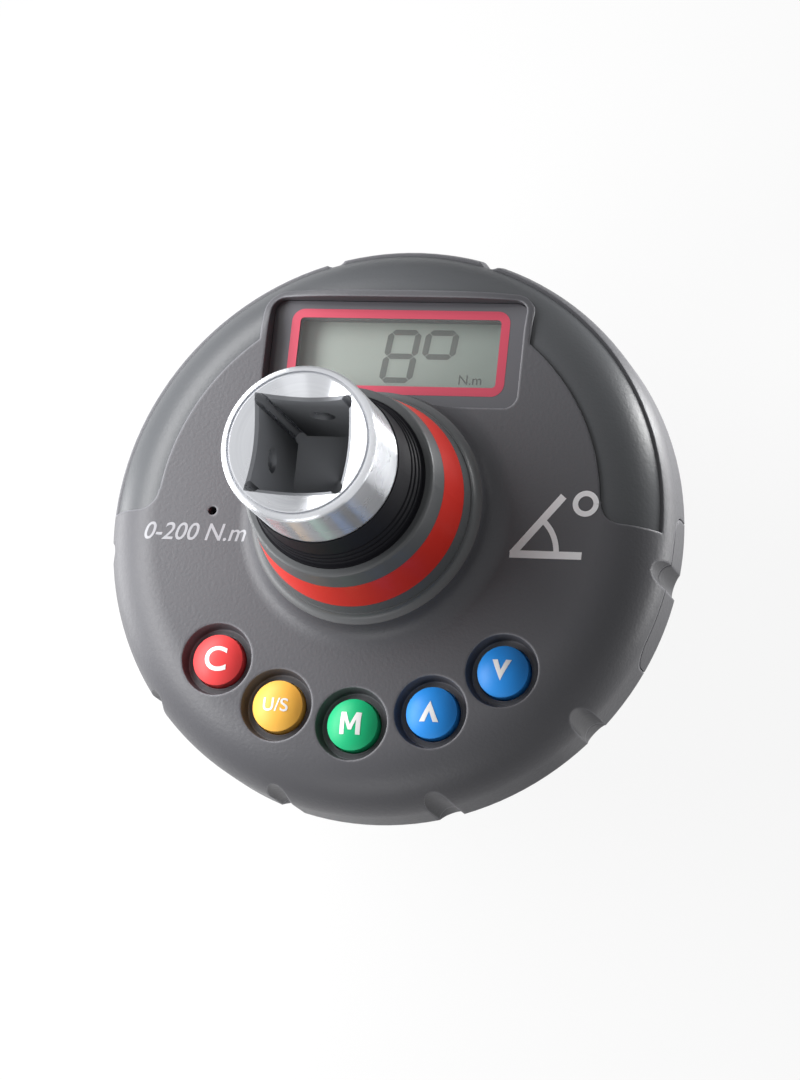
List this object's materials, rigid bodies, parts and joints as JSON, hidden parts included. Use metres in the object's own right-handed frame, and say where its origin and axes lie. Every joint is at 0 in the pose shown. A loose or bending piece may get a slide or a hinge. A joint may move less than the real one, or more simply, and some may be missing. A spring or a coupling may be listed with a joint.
{
  "type": "torque angle gauge",
  "caption": "Round electronic gauge that measures torque and turning angle between a square-drive wrench and its socket, with a display and coloured keys on its face.",
  "frame": {"origin": "centre of the end face of the male square drive, on the drive axis", "axes": "+Z along the drive axis from the male square towards the female socket, +Y towards the display, +X towards the battery drawer"},
  "size_m": [0.084, 0.084, 0.0816],
  "materials": {
    "shaft_chrome": "satin chrome plate",
    "polyimide_foil": "amber film",
    "bush_bronze": "turned bronze",
    "plain_steel": "plain hardened steel",
    "housing_plastic": "fine spark-eroded texture",
    "trim_plastic": "satin",
    "sleeve_plastic": "satin",
    "band_red": "smooth",
    "seal_black": "gloss",
    "window_tint": "printed clear acrylic",
    "lcd_glass": "grey-green reflective display",
    "holder_plastic": "natural",
    "strip_silicone": "matte",
    "board_laminate": "solder mask",
    "component_black": "moulded",
    "key_red": "smooth",
    "key_yellow": "smooth",
    "key_green": "smooth",
    "key_blue": "smooth",
    "cell_steel": "nickel-plated"
  },
  "bodies": {
    "gauge": {"torsion_shaft": "shaft_chrome", "strain_gauges": "polyimide_foil", "gauge_flex": "polyimide_foil", "front_bush": "bush_bronze", "shaft_key": "plain_steel", "retaining_ring": "plain_steel", "detent_spring": "plain_steel", "front_housing": "housing_plastic", "rear_housing": "housing_plastic", "rim_trim": "trim_plastic", "neck_sleeve": "sleeve_plastic", "neck_band": "band_red", "neck_seal": "seal_black", "display_window": "window_tint", "lcd_panel": "lcd_glass", "lcd_holder": "holder_plastic", "contact_strips": "strip_silicone", "main_board": "board_laminate", "board_chips": "component_black", "key_switches": "component_black", "buzzer": "component_black", "battery_contacts": "bush_bronze", "case_screws": "plain_steel"},
    "clear_key_body": {"clear_key": "key_red"},
    "unit_key_body": {"unit_key": "key_yellow"},
    "mode_key_body": {"mode_key": "key_green"},
    "up_key_body": {"up_key": "key_blue"},
    "down_key_body": {"down_key": "key_blue"},
    "drawer": {"battery_drawer": "housing_plastic", "coin_cell": "cell_steel"},
    "ball": {"detent_ball": "shaft_chrome"}
  },
  "joints": [
    {"name": "clear_key_press", "type": "slide", "parent": "gauge", "child": "clear_key_body", "axis": [0, 0, -1], "range_m": [0, 0.0005], "stiffness_N_per_m": 800, "springref_m": -0.0005},
    {"name": "unit_key_press", "type": "slide", "parent": "gauge", "child": "unit_key_body", "axis": [0, 0, -1], "range_m": [0, 0.0005], "stiffness_N_per_m": 800, "springref_m": -0.0005},
    {"name": "mode_key_press", "type": "slide", "parent": "gauge", "child": "mode_key_body", "axis": [0, 0, -1], "range_m": [0, 0.0005], "stiffness_N_per_m": 800, "springref_m": -0.0005},
    {"name": "up_key_press", "type": "slide", "parent": "gauge", "child": "up_key_body", "axis": [0, 0, -1], "range_m": [0, 0.0005], "stiffness_N_per_m": 800, "springref_m": -0.0005},
    {"name": "down_key_press", "type": "slide", "parent": "gauge", "child": "down_key_body", "axis": [0, 0, -1], "range_m": [0, 0.0005], "stiffness_N_per_m": 800, "springref_m": -0.0005},
    {"name": "drawer_slide", "type": "slide", "parent": "gauge", "child": "drawer", "axis": [0.9848, -0.1736, 0], "range_m": [0, 0.0255]},
    {"name": "detent_press", "type": "slide", "parent": "gauge", "child": "ball", "axis": [-1, 0, 0], "range_m": [0, 0.001], "stiffness_N_per_m": 2000, "springref_m": -0.001, "deforming": ["detent_spring"]}
  ]
}
